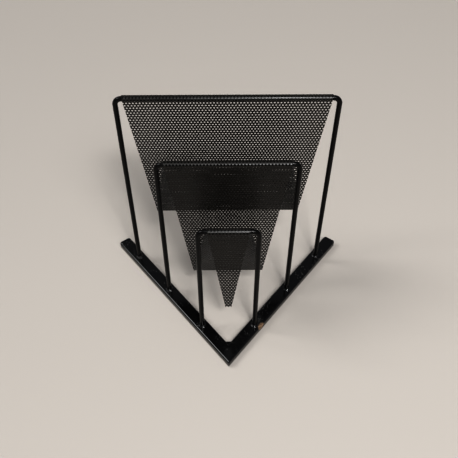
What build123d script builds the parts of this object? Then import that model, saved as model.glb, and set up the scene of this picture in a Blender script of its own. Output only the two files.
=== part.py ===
from build123d import *
import math
import os

# Magazine rack of painted steel: a flat V base of rectangular tube, three upright rod hoops,
# and one tapering perforated sheet folded in a zigzag over the hoops.
# Units are millimetres. +Z is up, the point of the V faces -Y, and the origin ends up on the
# floor under the centre of the rack.

# ---- driving dimensions -----------------------------------------------------------------

# V base
TUBE_WIDTH = 23.0            # across the arm, seen from above
TUBE_HEIGHT = 13.0
TUBE_CORNER = 3.0            # outer corner radius of the tube section
TUBE_WALL = 1.6
ARM_LENGTH = 322.0           # along the centre line, from the point of the V to the cap
CAP_LENGTH = 6.0             # part of the cap that stands outside the tube
CAP_CORNER = 5.0             # rounding of the cap's upright edges, seen from above
CAP_EDGE = 2.4               # rounding of the cap's other outer edges
SPIGOT_LENGTH = 12.0         # part of the cap inside the tube
SPIGOT_CLEARANCE = 0.1
WELD_FLAT = 8.0              # width of the flat weld face in the inner corner of the V
WELD_INSET = 1.5             # the corner weld stops this far below and above the tube faces

# Hoops, from the front one to the rear one
ROD_DIAMETER = 8.0
BEND_RADIUS = 10.0           # rod centre line at the two top corners
HOOP_NAMES = ["small", "medium", "large"]
FRONT_HALF_WIDTH = 45.25     # half the distance between the legs of the small hoop
HALF_WIDTH_STEP = 61.25
FRONT_DISTANCE = 58.0        # from the point of the V's centre lines to the small hoop
DISTANCE_STEP = 78.5
FRONT_BAR_HEIGHT = 248.0     # rod centre of the small hoop's bar above the floor
BAR_HEIGHT_STEP = 61.0
FOOT_WELD_LEG = 3.2          # leg length of the weld bead round each foot
WELD_WAIST = 0.36            # how far out the concave bead is at its middle, as a part of its leg

# Folded sheet
SHEET = 1.0                  # thickness
WRAP_RADIUS = 5.0            # inside radius where the sheet bends over a rod
FOLD_RADIUS = 1.5            # inside radius at the bottom of a trough
FOLD_HEIGHTS = [146.5, 78.5]  # underside of the rear fold and of the front fold
PANEL_LEAN = 0.6             # degrees by which a hanging panel leans forward as it goes down
TIP_HEIGHT = 75.0            # lower end of the hanging point
TIP_HALF_WIDTH = 5.0
TAPER = 0.1486               # half width gained for each unit of length from the tip
FLANGE = 6.0                 # straight end behind the large hoop's bar

# ---- derived values -----------------------------------------------------------------------

ARM_ANGLE = math.degrees(math.atan(HALF_WIDTH_STEP / DISTANCE_STEP))
ROD_RADIUS = ROD_DIAMETER / 2
WRAP_MID = WRAP_RADIUS + SHEET / 2
FOLD_MID = FOLD_RADIUS + SHEET / 2
BIG = 2 * ARM_LENGTH         # larger than anything that has to be cut

os.makedirs("parts", exist_ok=True)


def half_width(index):
    return FRONT_HALF_WIDTH + index * HALF_WIDTH_STEP


def hoop_distance(index):
    return FRONT_DISTANCE + index * DISTANCE_STEP


def bar_height(index):
    return FRONT_BAR_HEIGHT + index * BAR_HEIGHT_STEP


# ---- V base -------------------------------------------------------------------------------


def arm_frame(side, distance):
    """Plane across an arm at a distance from the point, with its local Y pointing up."""
    angle = math.radians(ARM_ANGLE)
    along = Vector(side * math.sin(angle), math.cos(angle), 0)
    across = Vector(0, 0, 1).cross(along)
    origin = along * distance + Vector(0, 0, TUBE_HEIGHT / 2)
    return Plane(origin=origin, x_dir=-across, z_dir=along)


def base_arm(side):
    start = arm_frame(side, -TUBE_WIDTH)
    outer = start * RectangleRounded(TUBE_WIDTH, TUBE_HEIGHT, TUBE_CORNER)
    inner_width = TUBE_WIDTH - 2 * TUBE_WALL
    inner_height = TUBE_HEIGHT - 2 * TUBE_WALL
    inner = start * RectangleRounded(inner_width, inner_height, TUBE_CORNER - TUBE_WALL)
    tube = extrude(outer - inner, ARM_LENGTH + TUBE_WIDTH)
    half_space = Align.MIN if side > 0 else Align.MAX
    keep = Box(BIG, 2 * BIG, BIG, align=(half_space, Align.CENTER, Align.CENTER))
    return tube & keep


def end_cap(side):
    face = arm_frame(side, ARM_LENGTH)
    cap = extrude(face * Rectangle(TUBE_WIDTH, TUBE_HEIGHT), CAP_LENGTH)
    outwards = Axis(face.origin, face.z_dir)
    uprights = cap.edges().filter_by(Axis.Z).sort_by(outwards)[-2:]
    cap = fillet(uprights, CAP_CORNER)
    section = extrude(face * RectangleRounded(TUBE_WIDTH, TUBE_HEIGHT, TUBE_CORNER), CAP_LENGTH)
    cap = cap & section
    outer_face = cap.faces().sort_by(outwards)[-1]
    upright_length = TUBE_HEIGHT / 2
    rim = [edge for edge in outer_face.edges() if abs((edge @ 1 - edge @ 0).Z) < upright_length]
    cap = fillet(rim, CAP_EDGE)
    spigot_width = TUBE_WIDTH - 2 * TUBE_WALL - 2 * SPIGOT_CLEARANCE
    spigot_height = TUBE_HEIGHT - 2 * TUBE_WALL - 2 * SPIGOT_CLEARANCE
    spigot_face = face * RectangleRounded(spigot_width, spigot_height, TUBE_CORNER - TUBE_WALL)
    spigot = extrude(spigot_face, -SPIGOT_LENGTH)
    return cap + spigot


def apex_weld():
    """Upright wedge that fills the inner corner of the V."""
    angle = math.radians(ARM_ANGLE)
    corner = TUBE_WIDTH / 2 / math.sin(angle)
    depth = WELD_FLAT / 2 / math.tan(angle)
    points = [(0, corner), (WELD_FLAT / 2, corner + depth), (-WELD_FLAT / 2, corner + depth)]
    outline = make_face(Polyline(*points, close=True))
    wedge = extrude(outline, TUBE_HEIGHT - 2 * WELD_INSET)
    return Pos(0, 0, WELD_INSET) * wedge


# ---- hoops --------------------------------------------------------------------------------


def hoop(index):
    x = half_width(index)
    z = bar_height(index)
    y = hoop_distance(index)
    corners = [(-x, y, TUBE_HEIGHT), (-x, y, z), (x, y, z), (x, y, TUBE_HEIGHT)]
    path = FilletPolyline(*corners, radius=BEND_RADIUS)
    foot = Plane(origin=corners[0], z_dir=(0, 0, 1))
    return sweep(foot * Circle(ROD_RADIUS), path=path)


def foot_welds(index):
    """Concave fillet bead round each of a hoop's two feet."""
    y = hoop_distance(index)
    outer = ROD_RADIUS + FOOT_WELD_LEG
    top = (ROD_RADIUS, FOOT_WELD_LEG)
    waist = WELD_WAIST * FOOT_WELD_LEG
    middle = (ROD_RADIUS + waist, waist)
    line = Polyline((outer, 0), (ROD_RADIUS, 0), top)
    bead_edge = ThreePointArc(top, middle, (outer, 0))
    profile = Plane.XZ * make_face(line.edges() + bead_edge.edges())
    bead = revolve(profile, Axis.Z)
    beads = []
    for side in (-1, 1):
        beads.append(Pos(side * half_width(index), y, TUBE_HEIGHT) * bead)
    return Compound(children=beads)


# ---- folded sheet ---------------------------------------------------------------------------
# The sheet is worked out in the (y, z) plane as flat panels and round bends. Every bend is an
# arc about a rod or about the bottom of a trough, and every panel is tangent to both its bends.


def crossing_tangent(first, first_radius, second, second_radius, towards):
    """Unit normal of the line between two circles that passes from one side to the other."""
    gap_y = second[0] - first[0]
    gap_z = second[1] - first[1]
    turn = math.acos((first_radius + second_radius) / math.hypot(gap_y, gap_z))
    heading = math.atan2(gap_z, gap_y)
    options = [(math.cos(heading + sign * turn), math.sin(heading + sign * turn)) for sign in (-1, 1)]
    return max(options, key=lambda normal: normal[0] * towards[0] + normal[1] * towards[1])


def offset_point(centre, normal, distance):
    return (centre[0] + distance * normal[0], centre[1] + distance * normal[1])


def wrap_centre(index):
    """Centre of the bend over a rod: the sheet's inner face rests on top of the rod."""
    return (hoop_distance(index), bar_height(index) - (WRAP_RADIUS - ROD_RADIUS))


def fold_centre(index, height):
    """Centre of the trough's bend below the bar of a hoop."""
    bar = wrap_centre(index)
    z = height + FOLD_RADIUS + SHEET
    lean = math.tan(math.radians(PANEL_LEAN)) * (bar[1] - z)
    return (bar[0] - WRAP_MID - FOLD_MID - lean, z)


def panel(start, end):
    return {"kind": "panel", "start": start, "end": end, "length": math.dist(start, end)}


def bend(centre, radius, first_normal, last_normal, over):
    """Bend from one panel's tangent point to the next; over is +1 across a rod's top."""
    first_angle = math.atan2(first_normal[1], first_normal[0])
    last_angle = math.atan2(last_normal[1], last_normal[0])
    sweep_angle = (last_angle - first_angle) * over % (2 * math.pi) * over
    return {
        "kind": "bend",
        "centre": centre,
        "radius": radius,
        "first": first_angle,
        "sweep": sweep_angle,
        "start": offset_point(centre, first_normal, radius),
        "end": offset_point(centre, last_normal, radius),
        "length": radius * abs(sweep_angle),
    }


def sheet_segments():
    """All panels and bends, from the flange behind the large hoop to the hanging point."""
    lean = math.radians(PANEL_LEAN)
    front = (-math.cos(lean), math.sin(lean))
    back = (1.0, 0.0)
    segments = []
    rear_wrap = wrap_centre(2)
    flange_top = offset_point(rear_wrap, back, WRAP_MID)
    segments.append(panel((flange_top[0], flange_top[1] - FLANGE), flange_top))
    arrive = back
    for index, height in ((2, FOLD_HEIGHTS[0]), (1, FOLD_HEIGHTS[1])):
        bar = wrap_centre(index)
        fold = fold_centre(index, height)
        next_bar = wrap_centre(index - 1)
        falling = crossing_tangent(bar, WRAP_MID, fold, FOLD_MID, (-1, 0))
        rising = crossing_tangent(fold, FOLD_MID, next_bar, WRAP_MID, (-1, -1))
        segments.append(bend(bar, WRAP_MID, arrive, falling, 1))
        into_fold = (-falling[0], -falling[1])
        fold_start = offset_point(fold, into_fold, FOLD_MID)
        segments.append(panel(segments[-1]["end"], fold_start))
        segments.append(bend(fold, FOLD_MID, into_fold, rising, -1))
        arrive = (-rising[0], -rising[1])
        segments.append(panel(segments[-1]["end"], offset_point(next_bar, arrive, WRAP_MID)))
    segments.append(bend(wrap_centre(0), WRAP_MID, arrive, front, 1))
    hang = segments[-1]["end"]
    tip = (hang[0] - math.tan(lean) * (hang[1] - TIP_HEIGHT), TIP_HEIGHT)
    segments.append(panel(hang, tip))
    return segments


def segment_profile(segment):
    """Closed outline of one panel or bend in the (y, z) plane."""
    half = SHEET / 2
    if segment["kind"] == "panel":
        start = segment["start"]
        end = segment["end"]
        along = ((end[0] - start[0]) / segment["length"], (end[1] - start[1]) / segment["length"])
        normal = (-along[1], along[0])
        corners = [offset_point(start, normal, half), offset_point(end, normal, half)]
        corners += [offset_point(end, normal, -half), offset_point(start, normal, -half)]
        return make_face(Polyline(*corners, close=True))
    first = math.degrees(segment["first"])
    arc = math.degrees(segment["sweep"])
    outer = CenterArc(segment["centre"], segment["radius"] + half, first, arc)
    inner = CenterArc(segment["centre"], segment["radius"] - half, first, arc)
    ends = [Line(outer @ 0, inner @ 0), Line(outer @ 1, inner @ 1)]
    return make_face([outer, inner] + ends)


def cut_side(solid, segment, side, start_half, end_half):
    """Trim one sloping side of a panel or bend, square to the sheet."""
    start = Vector(side * start_half, *segment["start"])
    end = Vector(side * end_half, *segment["end"])
    edge = (end - start).normalized()
    if segment["kind"] == "panel":
        down_panel = Vector(0, *segment["end"]) - Vector(0, *segment["start"])
        through = down_panel.cross(Vector(1, 0, 0)).normalized()
    else:
        through = Vector(0, 0, 1)
    outward = edge.cross(through).normalized()
    if outward.X * side < 0:
        outward = -outward
    return split(solid, bisect_by=Plane(origin=start, z_dir=outward), keep=Keep.BOTTOM)


def perforated_sheet():
    segments = sheet_segments()
    remaining = sum(segment["length"] for segment in segments)
    solids = []
    for segment in segments:
        start_half = TIP_HALF_WIDTH + TAPER * remaining
        remaining -= segment["length"]
        end_half = TIP_HALF_WIDTH + TAPER * remaining
        profile = Plane.YZ * segment_profile(segment)
        solid = extrude(profile, BIG / 2, both=True)
        for side in (-1, 1):
            solid = cut_side(solid, segment, side, start_half, end_half)
        solids.append(solid)
    sheet = solids[0]
    for solid in solids[1:]:
        sheet = sheet + solid
    return sheet


# ---- assembly -------------------------------------------------------------------------------

nodes = {
    "base_arm_left": base_arm(-1),
    "base_arm_right": base_arm(1),
    "end_cap_left": end_cap(-1),
    "end_cap_right": end_cap(1),
    "apex_weld": apex_weld(),
    "perforated_sheet": perforated_sheet(),
}
for index, size in enumerate(HOOP_NAMES):
    nodes["hoop_" + size] = hoop(index)
    nodes["foot_welds_" + size] = foot_welds(index)

# The rack is shifted along Y so that the origin lies under the centre of its outline.
outline_box = Compound(children=[Part() + shape for shape in nodes.values()]).bounding_box()
shift = Pos(0, -(outline_box.min.Y + outline_box.max.Y) / 2, 0)

for name, shape in nodes.items():
    export_step(shift * shape, "parts/" + name + ".step")

print("arm angle", round(ARM_ANGLE, 3))
print("shift along Y", round(shift.position.Y, 4))
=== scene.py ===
import math

import bmesh
import bpy
import numpy as np
from mathutils import Matrix, Vector, noise
from mathutils.geometry import delaunay_2d_cdt


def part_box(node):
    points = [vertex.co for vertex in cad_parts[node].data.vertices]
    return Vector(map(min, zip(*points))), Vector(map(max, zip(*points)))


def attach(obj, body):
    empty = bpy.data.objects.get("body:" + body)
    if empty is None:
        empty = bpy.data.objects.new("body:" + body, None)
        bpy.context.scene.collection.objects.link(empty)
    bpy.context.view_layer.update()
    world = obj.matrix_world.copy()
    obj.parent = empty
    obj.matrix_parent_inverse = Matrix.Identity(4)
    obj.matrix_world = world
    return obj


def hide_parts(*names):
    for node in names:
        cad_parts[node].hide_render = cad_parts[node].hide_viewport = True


# A magazine rack of black painted steel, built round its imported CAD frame. Lengths are in
# metres. The sheet is replaced by one with its real holes, the weld beads by rippled ones and
# the end caps by cleaned copies. The tubes, the hoops and the corner weld keep their CAD
# meshes. Every piece gets one of the paints.

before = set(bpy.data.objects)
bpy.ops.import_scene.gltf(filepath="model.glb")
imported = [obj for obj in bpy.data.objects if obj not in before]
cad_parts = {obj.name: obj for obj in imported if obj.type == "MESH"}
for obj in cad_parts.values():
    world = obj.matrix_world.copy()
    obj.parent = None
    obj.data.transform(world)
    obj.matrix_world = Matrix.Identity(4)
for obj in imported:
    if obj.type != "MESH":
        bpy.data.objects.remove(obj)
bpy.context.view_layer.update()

# ---- sizes ----------------------------------------------------------------------------------

MM = 0.001
SHARP_ANGLE = math.radians(40)         # an edge with a larger angle is shaded as a corner

# Camera: where it stands, and how it is turned, in degrees.
CAMERA_PLACE = (-0.0065, -0.6598, 0.8853)
CAMERA_PITCH = 46.68         # below the horizon
CAMERA_YAW = 0.70            # to the right of +Y
CAMERA_ROLL = -0.13
LENS = 47.26                 # for a sensor 36 wide
SENSOR = 36.0

# Tone: a gamma under 1 deepens the blacks as a camera's contrast does.
CONTRAST = 0.70

# Surroundings
FLOOR_REACH = 30.0
FLOOR_COLOUR = (0.42, 0.392, 0.362, 1)
FLOOR_ROUGHNESS = 0.9
WALL_COLOUR = (0.56, 0.53, 0.495, 1)
ROOM_COLOUR = (0.93, 0.95, 1.0, 1)
ROOM_LIGHT = 0.28

# Perforation
HOLE_RADIUS = 1.5 * MM
PITCH = 5.0 * MM             # between holes along a row; rows are staggered
ROW = PITCH * math.sqrt(3) / 2
HOLE_SIDES = 12
HOLE_TURN = 2 * math.pi / HOLE_SIDES
ROW_HEIGHT = 365.6 * MM      # height of one row that has a hole on the centre line
EDGE_GAP = PITCH / 100       # least distance from a border's end to its next point
BAND_LEAD = 3.0 * MM         # a band of the sheet ends at least this far before a bend
SAME_POINT = MM / 1000       # corners that round to the same thousandth of a millimetre are one
TOUCHING = 1e-6              # in millimetres; the triangulation joins points nearer than this

# Folded sheet
SHEET = 1.0 * MM
WRAP_RADIUS = 5.0 * MM       # inside radius over a rod
FOLD_RADIUS = 1.5 * MM       # inside radius at the bottom of a trough
FOLD_HEIGHTS = (146.5 * MM, 78.5 * MM)         # of the underside of each trough
PANEL_LEAN = math.radians(0.6)         # from the vertical; a panel's foot is in front of its top
TIP_HALF_WIDTH = 5.0 * MM
TAPER = 0.1486               # half width gained for each unit of length from the tip
FLANGE = 6.0 * MM            # length of the straight end behind the large hoop's bar

# Weld beads: a coarse ripple, with a finer and weaker one on top of it.
LUMP = 0.45 * MM             # height of the coarse ripple
LUMP_WIDTH = 2.4 * MM
FINE_LUMP = 0.4              # the finer ripple's height, as a part of the coarse one's
FINER = 2.3                  # how many times narrower it is
BEAD_VOXEL = 0.45 * MM

# End caps
NEEDLE = 0.002 * MM          # points and edges this close together are merged

# Bare patch on the right arm
ARM_ANGLE = math.radians(37.963)      # between an arm and the centre line
CHIP_SIZE = (8.0 * MM, 4.6 * MM, 6.5 * MM)     # half sizes: along the arm, outwards, up
CHIP_BEHIND = 4.5 * MM       # from the foot of the small hoop, along the arm
CHIP_OUT = 11.0 * MM         # from the middle of the arm, outwards
CHIP_DOWN = 2.0 * MM         # below the arm's top

HOOPS = ("hoop_small", "hoop_medium", "hoop_large")


def new_object(name, data):
    made = bpy.data.objects.new(name, data)
    bpy.context.scene.collection.objects.link(made)
    return made


# ---- shape of the folded sheet ----------------------------------------------------------------
# The sheet's mid line is worked out in the (y, z) plane as flat panels and round bends. Each
# bend is an arc over a rod or at the bottom of a trough, and each panel is tangent to its bends.


def bar_centre(index):
    """Centre of a hoop's bar in the (y, z) plane, and its rod's radius."""
    low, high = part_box(HOOPS[index])
    radius = (high.y - low.y) / 2
    return ((high.y + low.y) / 2, high.z - radius), radius


def wrap_centre(index):
    """Centre of the bend over a bar: the sheet rests on the top of the rod."""
    (y, z), radius = bar_centre(index)
    return (y, z - (WRAP_RADIUS - radius))


WRAP_MID = WRAP_RADIUS + SHEET / 2
FOLD_MID = FOLD_RADIUS + SHEET / 2


def fold_centre(index, height):
    """Centre of the bend at the bottom of the trough in front of a bar."""
    y, z = wrap_centre(index)
    fold_z = height + FOLD_RADIUS + SHEET
    return (y - WRAP_MID - FOLD_MID - math.tan(PANEL_LEAN) * (z - fold_z), fold_z)


def crossing_tangent(first, first_radius, second, second_radius, towards):
    """Unit normal of the line between two circles that passes from one side to the other."""
    gap_y = second[0] - first[0]
    gap_z = second[1] - first[1]
    turn = math.acos((first_radius + second_radius) / math.hypot(gap_y, gap_z))
    heading = math.atan2(gap_z, gap_y)
    options = [(math.cos(heading + sign * turn), math.sin(heading + sign * turn)) for sign in (-1, 1)]
    return max(options, key=lambda normal: normal[0] * towards[0] + normal[1] * towards[1])


def offset(centre, normal, distance):
    return (centre[0] + distance * normal[0], centre[1] + distance * normal[1])


def panel(start, end):
    return {"start": start, "end": end, "length": math.dist(start, end)}


def bend(centre, radius, first_normal, last_normal, over):
    """Arc between two panels: over is 1 across the top of a rod, and -1 in a trough."""
    first = math.atan2(first_normal[1], first_normal[0])
    last = math.atan2(last_normal[1], last_normal[0])
    sweep = (last - first) * over % (2 * math.pi) * over
    return {
        "centre": centre,
        "radius": radius,
        "first": first,
        "sweep": sweep,
        "end": offset(centre, last_normal, radius),
        "length": radius * abs(sweep),
    }


def sheet_segments():
    """All panels and bends, from the flange behind the large hoop to the hanging point."""
    back = (1.0, 0.0)
    front = (-math.cos(PANEL_LEAN), math.sin(PANEL_LEAN))
    top = offset(wrap_centre(2), back, WRAP_MID)
    segments = [panel((top[0], top[1] - FLANGE), top)]
    arrive = back
    for index, height in ((2, FOLD_HEIGHTS[0]), (1, FOLD_HEIGHTS[1])):
        bar = wrap_centre(index)
        fold = fold_centre(index, height)
        next_bar = wrap_centre(index - 1)
        falling = crossing_tangent(bar, WRAP_MID, fold, FOLD_MID, (-1, 0))
        rising = crossing_tangent(fold, FOLD_MID, next_bar, WRAP_MID, (-1, -1))
        into_fold = (-falling[0], -falling[1])
        segments.append(bend(bar, WRAP_MID, arrive, falling, 1))
        segments.append(panel(segments[-1]["end"], offset(fold, into_fold, FOLD_MID)))
        segments.append(bend(fold, FOLD_MID, into_fold, rising, -1))
        arrive = (-rising[0], -rising[1])
        segments.append(panel(segments[-1]["end"], offset(next_bar, arrive, WRAP_MID)))
    segments.append(bend(wrap_centre(0), WRAP_MID, arrive, front, 1))
    hang = segments[-1]["end"]
    tip_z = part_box("perforated_sheet")[0].z
    segments.append(panel(hang, (hang[0] - math.tan(PANEL_LEAN) * (hang[1] - tip_z), tip_z)))
    return segments


SEGMENTS = sheet_segments()
STARTS = np.cumsum([0.0] + [segment["length"] for segment in SEGMENTS])
SHEET_LENGTH = STARTS[-1]
REAR_PANEL = 2               # its place in SEGMENTS
BANDS = (                    # name, and the place in SEGMENTS of the bend that it ends before
    ("rear_panel", 3),
    ("rear_riser", 5),
    ("middle_panel", 7),
    ("middle_riser", 9),
    ("front_panel", None),
)


def half_width(along):
    return TIP_HALF_WIDTH + TAPER * (SHEET_LENGTH - along)


def on_sheet(x, along, lift):
    """Points of the folded sheet from flat ones: lift is the distance off its mid surface."""
    points = np.zeros((len(x), 3))
    points[:, 0] = x
    for number, segment in enumerate(SEGMENTS):
        low = STARTS[number] if number else -math.inf
        high = STARTS[number + 1] if number + 1 < len(SEGMENTS) else math.inf
        here = (along >= low) & (along < high)
        part = (along[here] - STARTS[number]) / segment["length"]
        if "radius" in segment:
            angle = segment["first"] + segment["sweep"] * part
            reach = segment["radius"] - math.copysign(1, segment["sweep"]) * lift
            points[here, 1] = segment["centre"][0] + reach * np.cos(angle)
            points[here, 2] = segment["centre"][1] + reach * np.sin(angle)
        else:
            step_y = segment["end"][0] - segment["start"][0]
            step_z = segment["end"][1] - segment["start"][1]
            points[here, 1] = segment["start"][0] + step_y * part - lift * step_z / segment["length"]
            points[here, 2] = segment["start"][1] + step_z * part + lift * step_y / segment["length"]
    return points


# ---- holes in the flat sheet --------------------------------------------------------------------
# The flat sheet is a stack of strips, one for each row of holes. A flat point is (x, along):
# its distance from the centre line, and its distance from the sheet's rear end.


def first_row():
    """Distance along the sheet of a row with a hole on the centre line, less whole row pairs."""
    top_z = SEGMENTS[REAR_PANEL]["start"][1]
    fall = (top_z - ROW_HEIGHT) / math.cos(PANEL_LEAN)
    return (STARTS[REAR_PANEL] + fall) % (2 * ROW)


FIRST_ROW = first_row()


def border_points(along):
    """Points across the sheet between two rows, the same for the row before and the row after."""
    half = half_width(along)
    reach = math.floor((half - EDGE_GAP) / (PITCH / 2))
    inner = [number * PITCH / 2 for number in range(-reach, reach + 1)]
    return [(x, along) for x in [-half, *inner, half]]


def hole_corners(x, along):
    corners = []
    for side in range(HOLE_SIDES):
        angle = side * HOLE_TURN
        corners.append((x + HOLE_RADIUS * math.cos(angle), along + HOLE_RADIUS * math.sin(angle)))
    return corners


def is_metal(centre, middle, shift, low, high):
    """Which triangles are sheet, from their centres; the rest are in a hole or past an edge."""
    nearest = np.round((centre[:, 0] - shift) / PITCH) * PITCH + shift
    from_hole = np.stack([centre[:, 0] - nearest, centre[:, 1] - middle], axis=1)
    facing = (np.arange(HOLE_SIDES) + 0.5) * HOLE_TURN
    facing = np.stack([np.cos(facing), np.sin(facing)])
    in_hole = (from_hole @ facing).max(axis=1) < HOLE_RADIUS * math.cos(HOLE_TURN / 2)
    past_side = np.abs(centre[:, 0]) > half_width(centre[:, 1])
    past_strip = (centre[:, 1] < low) | (centre[:, 1] > high)
    return ~(in_hole | past_side | past_strip)


def row_triangles(row):
    """Triangles of one row of holes, as flat points."""
    middle = FIRST_ROW + row * ROW
    low = max(0.0, middle - ROW / 2)
    high = min(SHEET_LENGTH, middle + ROW / 2)
    points = border_points(low) + border_points(high)[::-1]
    edges = [(i, (i + 1) % len(points)) for i in range(len(points))]
    shift = PITCH / 2 if row % 2 else 0.0
    reach = math.ceil((half_width(low) + 2 * HOLE_RADIUS) / PITCH)
    for number in range(-reach, reach + 1):
        x = number * PITCH + shift
        if abs(x) < half_width(low) + HOLE_RADIUS:
            start = len(points)
            points += hole_corners(x, middle)
            edges += [(start + side, start + (side + 1) % HOLE_SIDES) for side in range(HOLE_SIDES)]
    in_millimetres = [Vector((x / MM, along / MM)) for x, along in points]
    made = delaunay_2d_cdt(in_millimetres, edges, [], 0, TOUCHING)
    flat = np.array([tuple(point) for point in made[0]]) * MM
    triangles = np.array(made[2])
    centre = flat[triangles].mean(axis=1)
    return flat[triangles[is_metal(centre, middle, shift, low, high)]]


def join_rows(rows):
    """Flat points and triangles of some rows, with shared corners and all wound the same way."""
    corners = np.concatenate([row_triangles(row) for row in rows]).reshape(-1, 2)
    keys = np.round(corners / SAME_POINT).astype(np.int64)
    _, first, faces = np.unique(keys, axis=0, return_index=True, return_inverse=True)
    flat = corners[first]
    faces = faces.reshape(-1, 3)
    faces = faces[(faces != np.roll(faces, 1, axis=1)).all(axis=1)]
    a, b, c = (flat[faces[:, k]] for k in range(3))
    one_side = b - a
    next_side = c - a
    clockwise = one_side[:, 0] * next_side[:, 1] < one_side[:, 1] * next_side[:, 0]
    faces[clockwise] = faces[clockwise][:, ::-1]
    return flat, faces


def rim_edges(faces, count):
    """Edges with a triangle on one side only: they go round the band and round its holes."""
    edges = np.concatenate([faces[:, [0, 1]], faces[:, [1, 2]], faces[:, [2, 0]]])
    forward = edges[:, 0] * count + edges[:, 1]
    backward = edges[:, 1] * count + edges[:, 0]
    return edges[~np.isin(forward, backward)]


def sheet_band(name, rows):
    """One stretch of the perforated sheet, closed all round."""
    flat, faces = join_rows(rows)
    count = len(flat)
    rim = rim_edges(faces, count)
    near = on_sheet(flat[:, 0], flat[:, 1], SHEET / 2)
    far = on_sheet(flat[:, 0], flat[:, 1], -SHEET / 2)
    walls = np.stack([rim[:, 0], rim[:, 0] + count, rim[:, 1] + count, rim[:, 1]], axis=1)
    mesh = bpy.data.meshes.new(name)
    mesh.from_pydata(
        np.concatenate([near, far]),
        [],
        [*faces.tolist(), *(faces[:, ::-1] + count).tolist(), *walls.tolist()],
    )
    mesh.validate()
    mesh.shade_smooth()
    mesh.set_sharp_from_angle(angle=SHARP_ANGLE)
    return new_object(name, mesh)


def row_after(along):
    """Number of the first row whose strip starts at or after a distance along the sheet."""
    return math.ceil((along - FIRST_ROW) / ROW + 0.5)


def perforated_sheet(material):
    """The sheet in bands that meet on flat metal between two rows of holes."""
    start = math.floor(-FIRST_ROW / ROW - 0.5) + 1
    for name, next_bend in BANDS:
        if next_bend is None:
            end = row_after(SHEET_LENGTH)
        else:
            end = row_after(STARTS[next_bend] - BAND_LEAD) - 1
        piece = sheet_band("sheet_" + name, range(start, end))
        piece.data.materials.append(material)
        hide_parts("perforated_sheet")
        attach(piece, "root")
        start = end


# ---- materials --------------------------------------------------------------------------------
# Noise scales are in cells per metre. An edge is a pair of values: where something is absent,
# and where it is complete.

# Unevenness of every paint
TINT_SCALE = 38.0
TINT_DETAIL = 5.0
DARKEST = 0.75               # parts of the paint's own colour
LIGHTEST = 1.3
DULL_EDGE = (0.3, 0.7)
GLOSSIER = 0.05              # taken from the roughness where the paint is glossiest
DULLER = 0.07                # added to it where the paint is dullest
PEEL_SCALE = 900.0
PEEL_DETAIL = 2.0
PEEL_HEIGHT = 0.02 * MM
PEEL_STRENGTH = 0.5

# Specks of dust and scuffs
SPECK_SCALE = 300.0
SPECK_EDGE = (0.24, 0.14)    # distance from a speck's centre, in cells
DUSTY_SCALE = 45.0
DUSTY_DETAIL = 2.0
DUSTY_EDGE = (0.51, 0.60)
DUST_COLOUR = (0.12, 0.116, 0.108, 1)

# Bare, stained steel in the chip
RAG_SCALE = 420.0
RAG_DETAIL = 4.0
RAG_REACH = 0.8              # how far the noise moves the chip's edge, in chip half sizes
CHIP_EDGE = (1.40, 1.32)
STAIN_SCALE = 260.0
STAIN_DETAIL = 6.0
CLEAN_EDGE = (0.32, 0.62)
STAIN_COLOUR = (0.055, 0.026, 0.012, 1)
STEEL_COLOUR = (0.27, 0.185, 0.115, 1)

MATT = 0.6                   # roughness of dust and of bare steel


def noise_on(tree, scale, detail):
    """Noise that keeps its place on the object."""
    place = tree.nodes.new("ShaderNodeTexCoord")
    cloud = tree.nodes.new("ShaderNodeTexNoise")
    cloud.inputs["Scale"].default_value = scale
    cloud.inputs["Detail"].default_value = detail
    tree.links.new(place.outputs["Object"], cloud.inputs["Vector"])
    return cloud.outputs["Fac"]


def ramp(tree, value, edge, low=0.0, high=1.0):
    """A number that goes from low to high as value crosses an edge."""
    spread = tree.nodes.new("ShaderNodeMapRange")
    spread.inputs["From Min"].default_value = edge[0]
    spread.inputs["From Max"].default_value = edge[1]
    spread.inputs["To Min"].default_value = low
    spread.inputs["To Max"].default_value = high
    tree.links.new(value, spread.inputs["Value"])
    return spread.outputs["Result"]


def between(tree, first, second, amount):
    """A colour that goes from the first to the second as amount goes from 0 to 1."""
    mix = tree.nodes.new("ShaderNodeMix")
    mix.data_type = "RGBA"
    mix.inputs["A"].default_value = first
    mix.inputs["B"].default_value = second
    tree.links.new(amount, mix.inputs["Factor"])
    return mix.outputs["Result"]


def paint(name, colour, roughness, sheen):
    """Black paint with a fine orange peel and an uneven tint and gloss."""
    material = bpy.data.materials.new(name)
    material.use_nodes = True
    tree = material.node_tree
    shader = tree.nodes["Principled BSDF"]
    shader.inputs["Specular IOR Level"].default_value = sheen
    cloud = noise_on(tree, TINT_SCALE, TINT_DETAIL)
    dark = (*[channel * DARKEST for channel in colour], 1)
    light = (*[channel * LIGHTEST for channel in colour], 1)
    tree.links.new(between(tree, dark, light, cloud), shader.inputs["Base Color"])
    gloss = ramp(tree, cloud, DULL_EDGE, roughness - GLOSSIER, roughness + DULLER)
    tree.links.new(gloss, shader.inputs["Roughness"])
    bump = tree.nodes.new("ShaderNodeBump")
    bump.inputs["Distance"].default_value = PEEL_HEIGHT
    bump.inputs["Strength"].default_value = PEEL_STRENGTH
    tree.links.new(noise_on(tree, PEEL_SCALE, PEEL_DETAIL), bump.inputs["Height"])
    tree.links.new(bump.outputs["Normal"], shader.inputs["Normal"])
    return material


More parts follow.
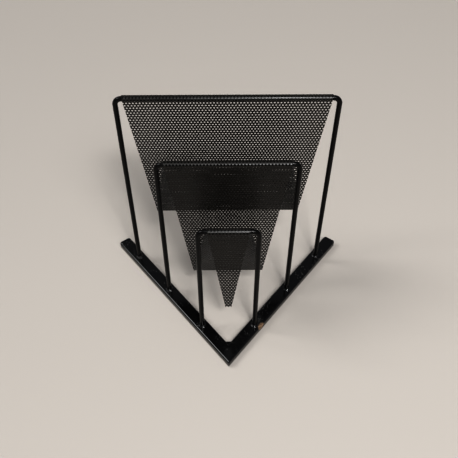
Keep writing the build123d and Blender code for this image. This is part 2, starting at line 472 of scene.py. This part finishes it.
def cover(material, amount, name, shown):
    """Lay shown, a socket or a value, over the paint's own where amount is 1."""
    tree = material.node_tree
    shader = tree.nodes["Principled BSDF"]
    painted = shader.inputs[name].links[0].from_socket
    mix = tree.nodes.new("ShaderNodeMix")
    if name == "Base Color":
        mix.data_type = "RGBA"
    if isinstance(shown, bpy.types.NodeSocket):
        tree.links.new(shown, mix.inputs["B"])
    else:
        mix.inputs["B"].default_value = shown
    tree.links.new(amount, mix.inputs["Factor"])
    tree.links.new(painted, mix.inputs["A"])
    tree.links.new(mix.outputs["Result"], shader.inputs[name])


def specks(material):
    """Sparse specks of dust and scuffed paint, about a millimetre across."""
    tree = material.node_tree
    place = tree.nodes.new("ShaderNodeTexCoord")
    cells = tree.nodes.new("ShaderNodeTexVoronoi")
    cells.inputs["Scale"].default_value = SPECK_SCALE
    tree.links.new(place.outputs["Object"], cells.inputs["Vector"])
    amount = tree.nodes.new("ShaderNodeMath")
    amount.operation = "MULTIPLY"
    tree.links.new(ramp(tree, cells.outputs["Distance"], SPECK_EDGE), amount.inputs[0])
    dusty = noise_on(tree, DUSTY_SCALE, DUSTY_DETAIL)
    tree.links.new(ramp(tree, dusty, DUSTY_EDGE), amount.inputs[1])
    cover(material, amount.outputs["Value"], "Base Color", DUST_COLOUR)
    cover(material, amount.outputs["Value"], "Roughness", MATT)
    return material


def chip_centre():
    """Middle of the bare patch, outside and behind the small hoop's right foot."""
    low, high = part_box("hoop_small")
    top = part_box("base_arm_right")[1].z
    foot = Vector((high.x - bar_centre(0)[1], (low.y + high.y) / 2, top - CHIP_DOWN))
    along = Vector((math.sin(ARM_ANGLE), math.cos(ARM_ANGLE), 0))
    out = Vector((math.cos(ARM_ANGLE), -math.sin(ARM_ANGLE), 0))
    return foot + along * CHIP_BEHIND + out * CHIP_OUT


def chip(material):
    """A ragged patch where the paint has come off the arm."""
    tree = material.node_tree
    place = tree.nodes.new("ShaderNodeTexCoord")
    patch = tree.nodes.new("ShaderNodeMapping")
    patch.vector_type = "TEXTURE"
    patch.inputs["Location"].default_value = chip_centre()
    patch.inputs["Rotation"].default_value = (0, 0, math.pi / 2 - ARM_ANGLE)
    patch.inputs["Scale"].default_value = CHIP_SIZE
    tree.links.new(place.outputs["Object"], patch.inputs["Vector"])
    reach = tree.nodes.new("ShaderNodeVectorMath")
    reach.operation = "LENGTH"
    tree.links.new(patch.outputs["Vector"], reach.inputs[0])
    ragged = tree.nodes.new("ShaderNodeMath")
    ragged.operation = "MULTIPLY_ADD"
    ragged.inputs[1].default_value = RAG_REACH
    tree.links.new(noise_on(tree, RAG_SCALE, RAG_DETAIL), ragged.inputs[0])
    tree.links.new(reach.outputs["Value"], ragged.inputs[2])
    bare = ramp(tree, ragged.outputs["Value"], CHIP_EDGE)
    clean = ramp(tree, noise_on(tree, STAIN_SCALE, STAIN_DETAIL), CLEAN_EDGE)
    cover(material, bare, "Base Color", between(tree, STAIN_COLOUR, STEEL_COLOUR, clean))
    cover(material, bare, "Roughness", MATT)
    return material


BASE_LOOK = ((0.0030, 0.0030, 0.0032), 0.11, 0.45)      # colour, roughness and sheen
BASE_PAINT = specks(paint("base_paint", *BASE_LOOK))
WORN_PAINT = chip(specks(paint("worn_paint", *BASE_LOOK)))
ROD_PAINT = paint("rod_paint", (0.0035, 0.0032, 0.0030), 0.20, 0.2)
SHEET_PAINT = paint("sheet_paint", (0.0105, 0.0092, 0.0076), 0.30, 0.4)
WELD_PAINT = paint("weld_paint", (0.0035, 0.0035, 0.0035), 0.12, 0.5)


# ---- pieces -------------------------------------------------------------------------------------


def dress(node, material):
    """Paint a CAD node."""
    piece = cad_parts[node]
    if not piece.data.materials:
        piece.data.materials.append(material)
    for place in piece.material_slots:
        place.material = material


def stand_in(node, name, mesh, material):
    """Put a painted piece in a CAD node's place."""
    piece = new_object(name, mesh)
    mesh.materials.clear()
    mesh.materials.append(material)
    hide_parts(node)
    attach(piece, "root")


def lumpy_bead(node, material):
    """The weld beads of one hoop, rippled as a hand-run weld is."""
    rough = new_object("rough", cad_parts[node].data.copy())
    remesh = rough.modifiers.new("remesh", "REMESH")
    remesh.mode = "VOXEL"
    remesh.voxel_size = BEAD_VOXEL
    bpy.context.view_layer.update()
    ready = rough.evaluated_get(bpy.context.evaluated_depsgraph_get())
    mesh = bpy.data.meshes.new_from_object(ready)
    bpy.data.objects.remove(rough)
    bottom = min(vertex.co.z for vertex in mesh.vertices)
    moves = []
    for vertex in mesh.vertices:
        coarse = noise.noise(vertex.co / LUMP_WIDTH)
        fine = noise.noise(vertex.co / LUMP_WIDTH * FINER)
        moves.append(vertex.normal * (coarse + FINE_LUMP * fine) * LUMP)
    for vertex, move in zip(mesh.vertices, moves):
        vertex.co += move
        vertex.co.z = max(vertex.co.z, bottom)
    mesh.shade_smooth()
    stand_in(node, "bead_" + node, mesh, material)


def clean_cap(node, material):
    """An end cap with the needle-thin faces of its CAD mesh merged away."""
    shape = bmesh.new()
    shape.from_mesh(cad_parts[node].data)
    bmesh.ops.remove_doubles(shape, verts=shape.verts, dist=NEEDLE)
    bmesh.ops.dissolve_degenerate(shape, edges=shape.edges, dist=NEEDLE)
    mesh = bpy.data.meshes.new(node)
    shape.to_mesh(mesh)
    shape.free()
    mesh.shade_smooth()
    mesh.set_sharp_from_angle(angle=SHARP_ANGLE)
    stand_in(node, "plug_" + node, mesh, material)


perforated_sheet(SHEET_PAINT)
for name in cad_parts:
    if name.startswith("hoop"):
        dress(name, ROD_PAINT)
    elif name.startswith("foot_welds"):
        lumpy_bead(name, WELD_PAINT)
    elif name.startswith("end_cap"):
        clean_cap(name, BASE_PAINT)
    elif name == "base_arm_right":
        dress(name, WORN_PAINT)
    elif name == "base_arm_left":
        dress(name, BASE_PAINT)
    else:                    # the corner weld, and the CAD sheet, which is hidden
        dress(name, WELD_PAINT)


# ---- floor, light and camera --------------------------------------------------------------------


def floor():
    mesh = bpy.data.meshes.new("floor")
    reach = FLOOR_REACH
    corners = [(-reach, -reach, 0), (reach, -reach, 0), (reach, reach, 0), (-reach, reach, 0)]
    mesh.from_pydata(corners, [], [(0, 1, 2, 3)])
    piece = new_object("floor", mesh)
    material = bpy.data.materials.new("floor")
    material.use_nodes = True
    shader = material.node_tree.nodes["Principled BSDF"]
    shader.inputs["Base Color"].default_value = FLOOR_COLOUR
    shader.inputs["Roughness"].default_value = FLOOR_ROUGHNESS
    shader.inputs["Specular IOR Level"].default_value = 0.0
    piece.data.materials.append(material)


def surroundings():
    """A dim room for the paint to mirror, with a pale wall behind the floor's edge."""
    world = bpy.data.worlds.new("room")
    world.use_nodes = True
    tree = world.node_tree
    room = tree.nodes["Background"]
    room.inputs["Color"].default_value = ROOM_COLOUR
    room.inputs["Strength"].default_value = ROOM_LIGHT
    wall = tree.nodes.new("ShaderNodeBackground")
    wall.inputs["Color"].default_value = WALL_COLOUR
    seen = tree.nodes.new("ShaderNodeLightPath")
    mix = tree.nodes.new("ShaderNodeMixShader")
    tree.links.new(seen.outputs["Is Camera Ray"], mix.inputs["Fac"])
    tree.links.new(room.outputs["Background"], mix.inputs[1])
    tree.links.new(wall.outputs["Background"], mix.inputs[2])
    tree.links.new(mix.outputs["Shader"], tree.nodes["World Output"].inputs["Surface"])
    bpy.context.scene.world = world


def sun(name, place, width, power):
    """A soft light from far away in the direction of place, some degrees wide."""
    data = bpy.data.lights.new(name, "SUN")
    data.angle = math.radians(width)
    data.energy = power
    light = new_object(name, data)
    light.rotation_euler = Vector(place).to_track_quat("Z", "Y").to_euler()


def area_light(name, place, aim, size, power):
    data = bpy.data.lights.new(name, "AREA")
    data.shape = "RECTANGLE"
    data.size = size[0]
    data.size_y = size[1]
    data.energy = power
    light = new_object(name, data)
    light.location = place
    light.rotation_euler = (Vector(aim) - Vector(place)).to_track_quat("-Z", "Y").to_euler()


def camera():
    data = bpy.data.cameras.new("camera")
    data.lens = LENS
    data.sensor_width = SENSOR
    piece = new_object("camera", data)
    yaw = math.radians(CAMERA_YAW)
    pitch = math.radians(CAMERA_PITCH)
    ahead = Vector((math.sin(yaw) * math.cos(pitch), math.cos(yaw) * math.cos(pitch), -math.sin(pitch)))
    right = Vector((math.cos(yaw), -math.sin(yaw), 0))
    up = right.cross(ahead)
    tilt = Matrix.Rotation(math.radians(CAMERA_ROLL), 3, ahead)
    right = tilt @ right
    up = tilt @ up
    turn = Matrix((right, up, -ahead)).transposed()
    piece.matrix_world = Matrix.LocRotScale(Vector(CAMERA_PLACE), turn, None)
    bpy.context.scene.camera = piece


floor()
surroundings()
sun("overhead", place=(0.0, -0.3, 2.4), width=40, power=0.5)
sun("left", place=(-1.7, 0.1, 1.8), width=26, power=2.0)
sun("right", place=(1.0, -2.0, 2.4), width=22, power=1.5)
area_light("window", place=(0.33, -1.3, 2.0), aim=(0, 0, 0.3), size=(0.35, 0.22), power=34)
camera()
looks = bpy.context.scene.view_settings
looks.view_transform = "Standard"
looks.gamma = CONTRAST
